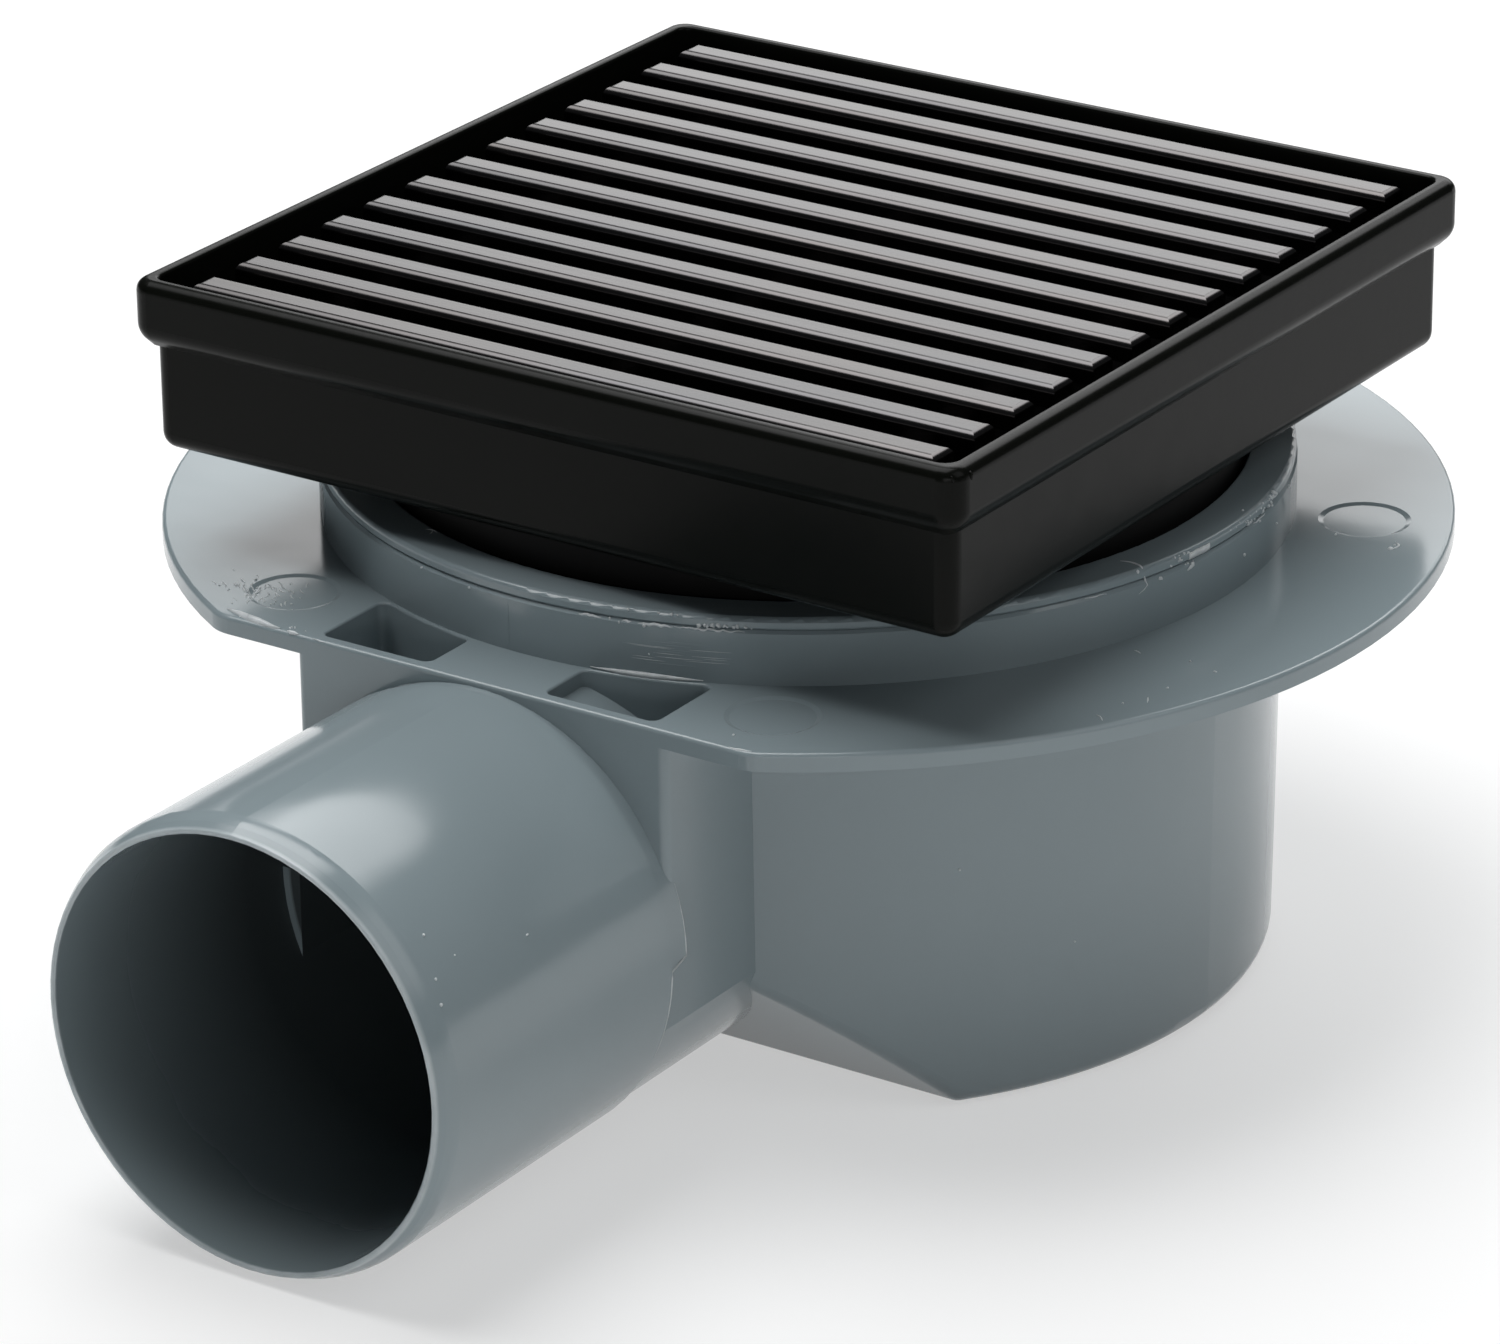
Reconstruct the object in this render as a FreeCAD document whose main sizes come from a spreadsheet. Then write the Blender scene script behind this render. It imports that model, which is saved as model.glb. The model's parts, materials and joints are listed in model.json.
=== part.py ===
import FreeCAD, Part
import math
import os
import re
import Sketcher

# Square shower floor drain: grey moulded body with a side outlet, square frame and slotted grate.
# The origin lies on the pot's axis in the plane of its underside. The outlet points along -Y.

# Driving sizes in millimetres and degrees
SIZES = {
    # Neck, from which the round pieces take their radii
    "neck_radius": 47.5,
    "neck_wall": 2.5,
    "neck_insert": 14.3,
    "neck_bevel": 0.8,
    "neck_ledge": 2.7,
    "neck_ledge_thick": 1.8,
    # Moulded drain body
    "pot_play": 2.0,
    "pot_wall": 2.2,
    "pot_floor": 2.2,
    "pot_draft": 0.6,
    "pot_edge_round": 2.0,
    "slope_foot": 31.3,
    "slope_angle": 46.1,
    "collar_wall": 2.0,
    "collar_height": 6.0,
    "collar_bevel": 0.3,
    "flange_width": 17.1,
    "flange_thick": 2.0,
    "flange_setback": 8.6,
    "flange_corner_round": 5.0,
    "flange_edge_round": 0.5,
    # Outlet
    "outlet_radius": 25.0,
    "outlet_wall": 1.5,
    "spigot_length": 41.5,
    "spigot_bevel": 2.0,
    "spigot_bevel_depth": 1.0,
    "spigot_bevel_round": 4.0,
    "nose_round": 0.3,
    "mouth_edge": 0.2,
    "crown_cover": 0.3,
    "root_step": 1.8,
    "root_back": 1.2,
    "root_inset": 0.3,
    "duct_inset": 1.7,
    "duct_wall": 2.0,
    "duct_lift": 0.4,
    "duct_edge_round": 1.0,
    # Cored pockets and round ejector marks in the flange
    "core_rib": 7.3,
    "core_side_wall": 2.3,
    "core_panel_wall": 1.6,
    "core_back_gap": 0.4,
    "core_round": 1.0,
    "core_rim_round": 0.3,
    "mark_radius": 5.0,
    "mark_depth": 0.2,
    "mark_slope": 70.0,
    "mark_offset": 7.5,
    "front_mark_angle": 30.0,
    "rear_mark_angle": 115.0,
    # Lip seal and the ring welded over it
    "seal_space": 3.5,
    "seal_height": 4.0,
    "seal_base": 2.0,
    "seal_lip": 0.5,
    "ring_inset": 0.15,
    "ring_height": 1.4,
    "ring_round": 0.5,
    # Clearances
    "run_gap": 0.3,
    "seal_gap": 0.1,
    "seat_gap": 0.05,
    # Frame
    "frame_gap": 3.9,
    "frame_margin": 2.5,
    "frame_height": 19.3,
    "frame_wall": 1.8,
    "frame_floor": 1.8,
    "frame_corner_round": 2.0,
    "frame_foot_round": 1.9,
    "lip_overhang": 1.7,
    "lip_height": 7.4,
    "lip_land": 0.2,
    "lip_corner_round": 2.5,
    "lip_curve": 2.4,
    "lip_top_round": 1.3,
    "rim_wall": 2.0,
    "rim_depth": 5.0,
    "rim_corner_round": 1.6,
    "rim_edge_round": 0.4,
    "rim_land": 0.2,
    "well_corner_round": 1.5,
    "socket_wall": 3.0,
    "socket_length": 8.6,
    "socket_groove_drop": 4.0,
    "ring_seal_section": 1.8,
    "ring_seal_bevel": 0.4,
    "ledge_width": 3.2,
    "ledge_thick": 1.5,
    # Grate
    "bar_width": 3.8,
    "bar_height": 5.0,
    "bar_foot": 1.8,
    "bar_edge": 2.4,
    "bar_round": 0.9,
    "bar_set_down": 0.8,
    "bar_end_gap": 1.8,
    "bar_side_gap": 0.7,
    "rail_width": 3.0,
    "rail_height": 3.0,
    "rail_inset": 10.4,
    # Trap
    "gasket_thick": 1.0,
    "trap_flange": 2.0,
    "trap_wall": 1.8,
    "tube_radius": 26.0,
    "funnel_drop": 8.0,
    "cup_floor_gap": 4.8,
    "cup_margin": 2.5,
    "cup_flare": 9.5,
    "cup_overflow": 11.0,
    "cup_rib_height": 5.2,
    "cup_rib_width": 2.0,
    "cup_rib_length": 14.0,
}
BAR_COUNT = 13
RAIL_COUNT = 3
CUP_RIBS = 3
PICK = 0.01

# Levels and radii that follow from the driving sizes
POT_INNER = "(neck_radius + pot_play)"
POT_RADIUS = "(" + POT_INNER + " + pot_wall)"
SLOPE_TOP = "((" + POT_RADIUS + " - slope_foot) * tan(slope_angle))"
SEAL_RADIUS = "(neck_radius + seal_space)"
COLLAR_RADIUS = "(" + SEAL_RADIUS + " + collar_wall)"
RING_RADIUS = "(" + COLLAR_RADIUS + " - ring_inset)"
FLANGE_RADIUS = "(" + COLLAR_RADIUS + " + flange_width)"
CHORD = "(" + COLLAR_RADIUS + " + flange_setback)"
MARK_CIRCLE = "(" + COLLAR_RADIUS + " + mark_offset)"
OUTLET_END = "(" + CHORD + " + spigot_length)"
SPIGOT_ROOT = "(" + CHORD + " + root_step)"
SPIGOT_BORE = "(outlet_radius - outlet_wall)"
BORE_STEP = "(" + SPIGOT_ROOT + " + outlet_wall)"
DUCT_HALF = "(outlet_radius - duct_inset)"
CORE_BACK = "(" + COLLAR_RADIUS + " + core_back_gap)"
CORE_SIDE = "(" + DUCT_HALF + " - core_side_wall)"
CORE_FRONT = "(" + CHORD + " - core_panel_wall)"
FLANGE_TOP = "(2 * outlet_radius + crown_cover)"
FLANGE_BASE = "(" + FLANGE_TOP + " - flange_thick)"
COLLAR_TOP = "(" + FLANGE_TOP + " + collar_height)"
RING_TOP = "(" + COLLAR_TOP + " + ring_height)"
SEAL_SEAT = "(" + COLLAR_TOP + " - seal_height)"
FRAME_BASE = "(" + RING_TOP + " + frame_gap)"
FRAME_TOP = "(" + FRAME_BASE + " + frame_height)"
FRAME_SIDE = "(2 * neck_radius + 2 * frame_margin)"
LIP_BASE = "(" + FRAME_TOP + " - lip_height)"
LIP_SIDE = "(" + FRAME_SIDE + " + 2 * lip_overhang)"
RIM_SIDE = "(" + LIP_SIDE + " - 2 * rim_wall)"
WELL_SIDE = "(" + FRAME_SIDE + " - 2 * frame_wall)"
NECK_INNER = "(neck_radius - neck_wall)"
NECK_TOP = "(" + FRAME_BASE + " - run_gap)"
NECK_BASE = "(" + COLLAR_TOP + " - neck_insert)"
NECK_LEDGE_TOP = "(" + NECK_BASE + " + neck_ledge_thick)"
SOCKET_RADIUS = "(" + NECK_INNER + " - run_gap)"
SOCKET_BASE = "(" + FRAME_BASE + " - socket_length)"
GROOVE_LEVEL = "(" + FRAME_BASE + " - socket_groove_drop)"
RING_SEAL_RADIUS = "(" + NECK_INNER + " - seal_gap)"
RING_SEAL_BORE = "(" + RING_SEAL_RADIUS + " - ring_seal_section)"
BAR_TOP = "(" + FRAME_TOP + " - bar_set_down)"
BAR_BASE = "(" + BAR_TOP + " - bar_height)"
LEDGE_TOP = "(" + BAR_BASE + " - rail_height)"
BAR_LENGTH = "(" + WELL_SIDE + " - 2 * bar_end_gap)"
BAR_SPAN = "(" + WELL_SIDE + " - 2 * bar_side_gap - bar_width)"
RAIL_LENGTH = "(" + WELL_SIDE + " - 2 * bar_side_gap)"
RAIL_SPAN = "(" + BAR_LENGTH + " - 2 * rail_inset)"
TRAP_SEAT = "(" + NECK_LEDGE_TOP + " + gasket_thick)"
TRAP_RIM = "(" + NECK_INNER + " - run_gap)"
LEDGE_BORE = "(" + NECK_INNER + " - neck_ledge)"
FUNNEL_RADIUS = "(" + LEDGE_BORE + " - run_gap)"
CUP_RADIUS = "(tube_radius + cup_margin)"
CUP_BASE = "(pot_floor + cup_floor_gap)"
CUP_FLOOR = "(" + CUP_BASE + " + trap_wall)"
CUP_TOP = "(" + NECK_BASE + " - cup_overflow)"
CUP_RIM = "(" + CUP_RADIUS + " + cup_flare)"
TUBE_END = "(" + CUP_FLOOR + " + cup_rib_height)"

doc = FreeCAD.newDocument("floor_drain")
sizes = doc.addObject("Spreadsheet::Sheet", "sizes")
for row, (alias, number) in enumerate(SIZES.items(), start=1):
    sizes.set("A%d" % row, alias)
    sizes.set("B%d" % row, str(number))
    sizes.setAlias("B%d" % row, alias)
doc.recompute()
pieces = []


# Expressions

def link(text):
    return re.sub(r"[a-z_]+", lambda word: named(word.group()), text)


def named(word):
    if word in SIZES:
        return "sizes." + word
    return word


def value(text):
    return float(sizes.evalExpression(link(text)))


def bind(item, prop, text):
    item.setExpression(prop, link(text))


# Sketches

def start_body(label):
    body = doc.addObject("PartDesign::Body", label)
    body.Label = label
    return body


def origin_part(body, role):
    return [feature for feature in body.Origin.OriginFeatures if feature.Role == role][0]


def keep(item):
    pieces.append(item)
    return item


def sketch_on(body, name, plane, depth="0", lift="0"):
    sketch = body.newObject("Sketcher::SketchObject", name)
    sketch.AttachmentSupport = [(origin_part(body, plane), "")]
    sketch.MapMode = "FlatFace"
    bind(sketch, "AttachmentOffset.Base.z", depth)
    bind(sketch, "AttachmentOffset.Base.y", lift)
    return sketch


def datum(sketch, kind, text, *where):
    index = sketch.addConstraint(Sketcher.Constraint(kind, *where, value(text)))
    bind(sketch, "Constraints[%d]" % index, text)


def line(sketch, start, end):
    return sketch.addGeometry(Part.LineSegment(FreeCAD.Vector(*start), FreeCAD.Vector(*end)), False)


def join(sketch, first, first_end, second, second_end):
    sketch.addConstraint(Sketcher.Constraint("Coincident", first, first_end, second, second_end))


def polygon(sketch, corners):
    points = [(value(x), value(y), 0) for x, y in corners]
    sides = [line(sketch, point, points[(i + 1) % len(points)]) for i, point in enumerate(points)]
    for i, side in enumerate(sides):
        join(sketch, side, 2, sides[(i + 1) % len(sides)], 1)
    for side, (x, y) in zip(sides, corners):
        datum(sketch, "DistanceX", x, -1, 1, side, 1)
        datum(sketch, "DistanceY", y, -1, 1, side, 1)
    return sketch


def rectangle(sketch, left, low, right, high):
    return polygon(sketch, [(left, low), (right, low), (right, high), (left, high)])


def square(sketch, side):
    return rectangle(sketch, "-%s / 2" % side, "-%s / 2" % side, "%s / 2" % side, "%s / 2" % side)


def circle(sketch, x, y, radius):
    centre = FreeCAD.Vector(value(x), value(y), 0)
    ring = sketch.addGeometry(Part.Circle(centre, FreeCAD.Vector(0, 0, 1), value(radius)), False)
    datum(sketch, "DistanceX", x, -1, 1, ring, 3)
    datum(sketch, "DistanceY", y, -1, 1, ring, 3)
    datum(sketch, "Radius", radius, ring)
    return sketch


def arc(sketch, x, y, radius, start, end):
    centre = FreeCAD.Vector(value(x), value(y), 0)
    full = Part.Circle(centre, FreeCAD.Vector(0, 0, 1), value(radius))
    bow = sketch.addGeometry(Part.ArcOfCircle(full, start, end), False)
    datum(sketch, "DistanceX", x, -1, 1, bow, 3)
    datum(sketch, "DistanceY", y, -1, 1, bow, 3)
    datum(sketch, "Radius", radius, bow)
    return bow


def half_disc(sketch, radius, level):
    bow = arc(sketch, "0", level, radius, 0, math.pi)
    flat = line(sketch, (-value(radius), value(level), 0), (value(radius), value(level), 0))
    join(sketch, bow, 2, flat, 1)
    join(sketch, flat, 2, bow, 1)
    datum(sketch, "DistanceY", level, -1, 1, bow, 1)
    datum(sketch, "DistanceY", level, -1, 1, bow, 2)
    return sketch


def flatted(sketch, half, radius, level):
    lean = math.acos(value(half) / value(radius))
    rise = value(radius) * math.sin(lean)
    high = value(level) + rise
    low = value(level) - rise
    top = arc(sketch, "0", level, radius, lean, math.pi - lean)
    left = line(sketch, (-value(half), high, 0), (-value(half), low, 0))
    bottom = arc(sketch, "0", level, radius, math.pi + lean, 2 * math.pi - lean)
    right = line(sketch, (value(half), low, 0), (value(half), high, 0))
    join(sketch, top, 2, left, 1)
    join(sketch, left, 2, bottom, 1)
    join(sketch, bottom, 2, right, 1)
    join(sketch, right, 2, top, 1)
    for side in (left, right):
        sketch.addConstraint(Sketcher.Constraint("Vertical", side))
    datum(sketch, "DistanceX", "-" + half, -1, 1, left, 1)
    datum(sketch, "DistanceX", half, -1, 1, right, 1)
    return sketch


def core_outline(sketch):
    inner = value("core_rib")
    outer = value(CORE_SIDE)
    front = -value(CORE_FRONT)
    inner_back = -math.sqrt(value(CORE_BACK) ** 2 - inner ** 2)
    outer_back = -math.sqrt(value(CORE_BACK) ** 2 - outer ** 2)
    back = arc(sketch, "0", "0", CORE_BACK, math.atan2(inner_back, inner), math.atan2(outer_back, outer))
    side = line(sketch, (outer, outer_back, 0), (outer, front, 0))
    panel = line(sketch, (outer, front, 0), (inner, front, 0))
    rib = line(sketch, (inner, front, 0), (inner, inner_back, 0))
    join(sketch, back, 2, side, 1)
    join(sketch, side, 2, panel, 1)
    join(sketch, panel, 2, rib, 1)
    join(sketch, rib, 2, back, 1)
    for wall in (side, rib):
        sketch.addConstraint(Sketcher.Constraint("Vertical", wall))
    sketch.addConstraint(Sketcher.Constraint("Horizontal", panel))
    datum(sketch, "DistanceX", CORE_SIDE, -1, 1, panel, 1)
    datum(sketch, "DistanceX", "core_rib", -1, 1, panel, 2)
    datum(sketch, "DistanceY", "-" + CORE_FRONT, -1, 1, panel, 1)
    return sketch


# Features

def pad(body, sketch, length, reverse=False, both_ways=False):
    feature = body.newObject("PartDesign::Pad", sketch.Name + "_pad")
    feature.Profile = sketch
    feature.Reversed = reverse
    feature.Midplane = both_ways
    bind(feature, "Length", length)
    doc.recompute()
    return feature


def pocket(body, sketch, depth, reverse=False, both_ways=False, slope="0"):
    before = body.Shape.Volume
    feature = body.newObject("PartDesign::Pocket", sketch.Name + "_cut")
    feature.Profile = sketch
    feature.Reversed = reverse
    feature.Midplane = both_ways
    bind(feature, "Length", depth)
    bind(feature, "TaperAngle", slope)
    doc.recompute()
    if body.Shape.Volume >= before - PICK:
        raise RuntimeError(sketch.Name + " removes nothing")
    return feature


def revolve(body, sketch, axis="V_Axis"):
    feature = body.newObject("PartDesign::Revolution", sketch.Name + "_turn")
    feature.Profile = sketch
    feature.ReferenceAxis = (sketch, [axis])
    feature.Angle = 360
    doc.recompute()
    return feature


def picked(body, test):
    names = ["Edge%d" % (i + 1) for i, edge in enumerate(body.Shape.Edges) if test(edge)]
    if not names:
        raise RuntimeError("no edge to dress on " + body.Label)
    return (body.Tip, names)


def fillet(body, name, radius, test):
    edges = picked(body, test)
    feature = body.newObject("PartDesign::Fillet", name)
    feature.Base = edges
    bind(feature, "Radius", radius)
    doc.recompute()
    return feature


def chamfer(body, name, size, test):
    edges = picked(body, test)
    feature = body.newObject("PartDesign::Chamfer", name)
    feature.Base = edges
    bind(feature, "Size", size)
    doc.recompute()
    return feature


def mirror(body, feature):
    twin = body.newObject("PartDesign::Mirrored", feature.Name + "_twin")
    twin.Originals = [feature]
    twin.MirrorPlane = (origin_part(body, "YZ_Plane"), [""])
    body.Tip = twin
    doc.recompute()
    return twin


def turned(label, corners):
    body = start_body(label)
    revolve(body, polygon(sketch_on(body, label + "_section", "XZ_Plane"), corners))
    return keep(body)


# Edge tests

def same(first, second):
    return abs(first - second) < PICK


def flat_at(edge, level):
    return same(edge.BoundBox.ZMin, value(level)) and same(edge.BoundBox.ZMax, value(level))


def upright(edge):
    box = edge.BoundBox
    return box.XLength < PICK and box.YLength < PICK and box.ZLength > PICK


def reach(edge):
    return max(math.hypot(point.X, point.Y) for point in edge.Vertexes)


def in_core(edge):
    across = abs(edge.BoundBox.XMin)
    return upright(edge) and (same(across, value("core_rib")) or same(across, value(CORE_SIDE)))


def on_core_rim(edge):
    box = edge.BoundBox
    return flat_at(edge, FLANGE_TOP) and max(box.XMax, -box.XMin) < value(CORE_SIDE) + PICK


def on_foot(edge):
    box = edge.BoundBox
    return box.ZMax < value(SLOPE_TOP) + PICK and box.XLength > PICK


def beyond(edge, half):
    box = edge.BoundBox
    return max(box.XMax, -box.XMin, box.YMax, -box.YMin) > value(half) + PICK


def round_at(edge, end):
    box = edge.BoundBox
    return same(box.YMin, -value(end)) and same(box.YMax, -value(end)) and same(box.XLength, box.ZLength)


# Drain body, outside: pot, flange and collar turned in one profile
shell = start_body("drain_outside")
pot_section = sketch_on(shell, "pot_section", "XZ_Plane")
polygon(pot_section, [
    ("0", "0"),
    (POT_RADIUS + " - pot_draft", "0"),
    (POT_RADIUS, FLANGE_BASE),
    (FLANGE_RADIUS, FLANGE_BASE),
    (FLANGE_RADIUS, FLANGE_TOP),
    (COLLAR_RADIUS, FLANGE_TOP),
    (COLLAR_RADIUS, COLLAR_TOP + " - collar_bevel"),
    (COLLAR_RADIUS + " - collar_bevel", COLLAR_TOP),
    ("0", COLLAR_TOP),
])
revolve(shell, pot_section)

# Sloping underside towards the outlet
slope = sketch_on(shell, "slope", "YZ_Plane")
polygon(slope, [
    ("-slope_foot", "0"),
    ("-" + POT_RADIUS, "0"),
    ("-" + POT_RADIUS, SLOPE_TOP),
])
pocket(shell, slope, "2 * " + POT_RADIUS, both_ways=True)
fillet(shell, "pot_foot_round", "pot_edge_round", on_foot)

# Straight edge of the flange over the outlet
chord = sketch_on(shell, "chord", "XY_Plane")
rectangle(chord, "-" + FLANGE_RADIUS, "-" + FLANGE_RADIUS, FLANGE_RADIUS, "-" + CHORD)
pocket(shell, chord, COLLAR_TOP, reverse=True)
fillet(shell, "flange_corners", "flange_corner_round",
       lambda edge: upright(edge) and same(edge.BoundBox.YMin, -value(CHORD)))
fillet(shell, "flange_edge", "flange_edge_round",
       lambda edge: flat_at(edge, FLANGE_TOP) and reach(edge) > value(COLLAR_RADIUS + " + flange_thick"))

# Box-shaped outlet root under the flange, cored from above
box = sketch_on(shell, "outlet_box", "XY_Plane", "outlet_radius")
rectangle(box, "-" + DUCT_HALF, "-" + CHORD, DUCT_HALF, "-slope_foot")
pad(shell, box, FLANGE_BASE + " + flange_thick / 2 - outlet_radius")
fillet(shell, "box_edges", "duct_edge_round",
       lambda edge: upright(edge) and same(edge.BoundBox.YMin, -value(CHORD)))
core = sketch_on(shell, "core", "XY_Plane", FLANGE_TOP)
core_outline(core)
mirror(shell, pocket(shell, core, FLANGE_TOP + " - outlet_radius"))
fillet(shell, "core_corners", "core_round", in_core)
fillet(shell, "core_rims", "core_rim_round", on_core_rim)

# Spigot with a lead-in bevel, carried back into the pot between flat sides
spigot = sketch_on(shell, "spigot", "YZ_Plane", lift="outlet_radius")
polygon(spigot, [
    ("-" + OUTLET_END, "0"),
    ("-" + SPIGOT_ROOT, "0"),
    ("-" + SPIGOT_ROOT, "outlet_radius"),
    ("spigot_bevel - " + OUTLET_END, "outlet_radius"),
    ("-" + OUTLET_END, "outlet_radius - spigot_bevel_depth"),
])
revolve(shell, spigot, "H_Axis")
fillet(shell, "spigot_shoulder", "spigot_bevel_round",
       lambda edge: round_at(edge, OUTLET_END + " - spigot_bevel"))
fillet(shell, "spigot_nose", "nose_round", lambda edge: round_at(edge, OUTLET_END))
root = sketch_on(shell, "spigot_root", "XZ_Plane", SPIGOT_ROOT)
half_disc(root, "(outlet_radius - root_inset)", "outlet_radius")
pad(shell, root, "root_step + root_back", reverse=True)
duct = sketch_on(shell, "duct", "XZ_Plane", SPIGOT_ROOT)
flatted(duct, DUCT_HALF, "(outlet_radius - duct_lift)", "outlet_radius")
pad(shell, duct, SPIGOT_ROOT + " - slope_foot + pot_wall", reverse=True)

# Round ejector marks on the flange
marks = sketch_on(shell, "ejector_marks", "XY_Plane", FLANGE_TOP)
for angle in ("front_mark_angle", "rear_mark_angle"):
    for sign in ("-", ""):
        across = "%s%s * sin(%s)" % (sign, MARK_CIRCLE, angle)
        along = "-%s * cos(%s)" % (MARK_CIRCLE, angle)
        circle(marks, across, along, "mark_radius")
pocket(shell, marks, "mark_depth", slope="-mark_slope")

# Drain body, inside: pot, seal seat, outlet bore
hollow = start_body("drain_inside")
pot_hollow = sketch_on(hollow, "pot_hollow", "XZ_Plane")
polygon(pot_hollow, [
    ("0", "pot_floor"),
    (POT_INNER + " - pot_draft", "pot_floor"),
    (POT_INNER, SEAL_SEAT),
    (SEAL_RADIUS, SEAL_SEAT),
    (SEAL_RADIUS, RING_TOP),
    ("0", RING_TOP),
])
revolve(hollow, pot_hollow)
inner_slope = sketch_on(hollow, "inner_slope", "YZ_Plane")
polygon(inner_slope, [
    ("pot_wall / sin(slope_angle) - slope_foot", "0"),
    ("-" + POT_RADIUS, "0"),
    ("-" + POT_RADIUS, SLOPE_TOP + " + pot_wall / cos(slope_angle)"),
])
pocket(hollow, inner_slope, "2 * " + POT_RADIUS, both_ways=True)
duct_bore = sketch_on(hollow, "duct_bore", "XZ_Plane", BORE_STEP)
flatted(duct_bore, "(" + DUCT_HALF + " - duct_wall)", SPIGOT_BORE, "outlet_radius")
pad(hollow, duct_bore, BORE_STEP + " - slope_foot + pot_wall / sin(slope_angle)", reverse=True)
root_bore = sketch_on(hollow, "root_bore", "XZ_Plane", BORE_STEP)
half_disc(root_bore, SPIGOT_BORE, "outlet_radius")
pad(hollow, root_bore, "root_step + root_back", reverse=True)
spigot_bore = sketch_on(hollow, "spigot_bore", "YZ_Plane", lift="outlet_radius")
polygon(spigot_bore, [
    ("-" + OUTLET_END, "0"),
    ("-" + BORE_STEP, "0"),
    ("-" + BORE_STEP, SPIGOT_BORE),
    ("mouth_edge - " + OUTLET_END, SPIGOT_BORE),
    ("-" + OUTLET_END, SPIGOT_BORE + " + mouth_edge"),
])
revolve(hollow, spigot_bore, "H_Axis")
drain_body = doc.addObject("Part::Cut", "drain_body")
drain_body.Base = shell
drain_body.Tool = hollow
keep(drain_body)

# Ring welded on the collar, and the lip seal that it holds down
SEAL_BORE = "(neck_radius + seal_gap)"
RING_BORE = "(neck_radius + run_gap)"
ring = turned("seal_ring", [
    (RING_BORE, COLLAR_TOP),
    (RING_RADIUS + " - collar_bevel", COLLAR_TOP),
    (RING_RADIUS, COLLAR_TOP + " + collar_bevel"),
    (RING_RADIUS, RING_TOP),
    (RING_BORE, RING_TOP),
])
fillet(ring, "ring_top_edges", "ring_round", lambda edge: flat_at(edge, RING_TOP))
turned("lip_seal", [
    (SEAL_RADIUS + " - seat_gap", SEAL_SEAT),
    (SEAL_RADIUS + " - seat_gap", COLLAR_TOP),
    (SEAL_RADIUS + " - seal_base", COLLAR_TOP),
    (SEAL_BORE, SEAL_SEAT + " + seal_height / 2 + seal_lip"),
    (SEAL_BORE, SEAL_SEAT + " + seal_height / 2"),
    (SEAL_RADIUS + " - seal_base", SEAL_SEAT),
])

# Neck tube that slides in the seal, with a ledge for the trap
turned("neck_tube", [
    (NECK_INNER + " - neck_ledge", NECK_BASE),
    ("neck_radius - neck_bevel", NECK_BASE),
    ("neck_radius", NECK_BASE + " + neck_bevel"),
    ("neck_radius", NECK_TOP),
    (NECK_INNER, NECK_TOP),
    (NECK_INNER, NECK_LEDGE_TOP),
    (NECK_INNER + " - neck_ledge", NECK_LEDGE_TOP),
])

# Trap: gasket, funnel with dip tube, cup on ribs
turned("trap_gasket", [
    (LEDGE_BORE, NECK_LEDGE_TOP),
    (TRAP_RIM, NECK_LEDGE_TOP),
    (TRAP_RIM, TRAP_SEAT),
    (LEDGE_BORE, TRAP_SEAT),
])
turned("trap_funnel", [
    ("tube_radius - trap_wall", TUBE_END),
    ("tube_radius", TUBE_END),
    ("tube_radius", TRAP_SEAT + " - funnel_drop"),
    (FUNNEL_RADIUS, TRAP_SEAT + " - trap_flange"),
    (FUNNEL_RADIUS, TRAP_SEAT),
    (TRAP_RIM, TRAP_SEAT),
    (TRAP_RIM, TRAP_SEAT + " + trap_flange"),
    (FUNNEL_RADIUS + " - trap_wall", TRAP_SEAT + " + trap_flange"),
    (FUNNEL_RADIUS + " - trap_wall", TRAP_SEAT),
    ("tube_radius - trap_wall", TRAP_SEAT + " + trap_flange - funnel_drop"),
])
cup = turned("trap_cup", [
    ("0", CUP_BASE),
    (CUP_RADIUS, CUP_BASE),
    (CUP_RIM, CUP_TOP),
    (CUP_RIM + " - trap_wall", CUP_TOP),
    (CUP_RADIUS + " - trap_wall", CUP_FLOOR),
    ("0", CUP_FLOOR),
])
rib = sketch_on(cup, "cup_rib", "XY_Plane", CUP_BASE + " + trap_wall / 2")
CUP_RIB_END = "(" + CUP_RADIUS + " - trap_wall / 2)"
rectangle(rib, CUP_RIB_END + " - cup_rib_length", "-cup_rib_width / 2", CUP_RIB_END, "cup_rib_width / 2")
rib_pad = pad(cup, rib, "cup_rib_height + trap_wall / 2")
ribs = cup.newObject("PartDesign::PolarPattern", "cup_ribs")
ribs.Originals = [rib_pad]
ribs.Axis = (origin_part(cup, "Z_Axis"), [""])
ribs.Angle = 360
ribs.Occurrences = CUP_RIBS
cup.Tip = ribs
doc.recompute()

# Square frame: pan stepped out to a lip, floor with a round socket that turns in the neck
frame = start_body("frame")
pan = sketch_on(frame, "pan", "XY_Plane", FRAME_BASE)
square(pan, FRAME_SIDE)
pad(frame, pan, "frame_height")
fillet(frame, "pan_corners", "frame_corner_round", upright)
fillet(frame, "pan_foot", "frame_foot_round", lambda edge: flat_at(edge, FRAME_BASE))
lip = sketch_on(frame, "lip", "XY_Plane", LIP_BASE)
square(lip, LIP_SIDE)
pad(frame, lip, "lip_height")
fillet(frame, "lip_corners", "lip_corner_round",
       lambda edge: upright(edge) and same(edge.BoundBox.ZMin, value(LIP_BASE)))
chamfer(frame, "lip_under", "lip_overhang - lip_land",
        lambda edge: flat_at(edge, LIP_BASE) and beyond(edge, FRAME_SIDE + " / 2"))
fillet(frame, "lip_shoulder", "lip_curve",
       lambda edge: flat_at(edge, LIP_BASE + " + lip_overhang - lip_land"))
fillet(frame, "lip_top", "min(lip_top_round; rim_wall - rim_edge_round - rim_land)",
       lambda edge: flat_at(edge, FRAME_TOP))
well = sketch_on(frame, "well", "XY_Plane", FRAME_TOP)
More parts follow.
